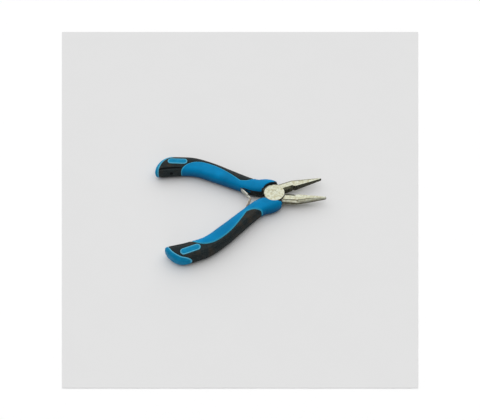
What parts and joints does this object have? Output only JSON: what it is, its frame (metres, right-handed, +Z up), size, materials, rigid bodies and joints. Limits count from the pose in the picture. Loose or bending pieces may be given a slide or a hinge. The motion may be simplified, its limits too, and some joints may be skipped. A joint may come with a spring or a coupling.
{
  "type": "long nose pliers",
  "caption": "Mini pliers with tapered serrated jaws, a side cutter, a lap joint, leaf spring return and curved two-colour handles.",
  "frame": {"origin": "on the pivot axis, at the underside face of the lap joint", "axes": "+X from the pivot to the jaws along the middle of the opening, +Z up the pivot axis, +Y to the left seen from above"},
  "size_m": [0.1185, 0.0954, 0.011],
  "materials": {
    "steel": "satin ground, lightly polished",
    "spring_steel": "rolled spring strip",
    "blue_plastic": "satin moulded",
    "black_rubber": "fine matte texture",
    "light_blue_plastic": "satin moulded"
  },
  "bodies": {
    "right_half": {"right_lever": "steel", "pivot_rivet": "steel", "right_core": "blue_plastic", "right_overmould": "black_rubber", "right_neck_pad": "black_rubber", "right_end_cap": "light_blue_plastic", "right_badge": "light_blue_plastic"},
    "left_half": {"left_lever": "steel", "left_core": "blue_plastic", "left_overmould": "black_rubber", "left_neck_pad": "black_rubber", "left_end_cap": "light_blue_plastic", "left_badge": "light_blue_plastic"},
    "left_leaf": {"left_spring": "spring_steel"},
    "right_leaf": {"right_spring": "spring_steel"}
  },
  "joints": [
    {"name": "pivot", "type": "hinge", "parent": "right_half", "child": "left_half", "pos_m": [0, 0, 0], "axis": [0, 0, 1], "range_deg": [0, 26], "stiffness_Nm_per_rad": 0.8},
    {"name": "left_leaf_flex", "type": "hinge", "parent": "left_half", "child": "left_leaf", "pos_m": [-0.02335, 0.01131, 0.00335], "axis": [0, 0, 1], "range_deg": [0, 21.9]},
    {"name": "right_leaf_flex", "type": "hinge", "parent": "right_half", "child": "right_leaf", "pos_m": [-0.02335, -0.01131, 0.00335], "axis": [0, 0, 1], "range_deg": [-21.9, 0]}
  ],
  "couplings": [
    {"joint": "left_leaf_flex", "follows": "pivot", "ratio": 0.829},
    {"joint": "right_leaf_flex", "follows": "pivot", "ratio": -0.829}
  ]
}
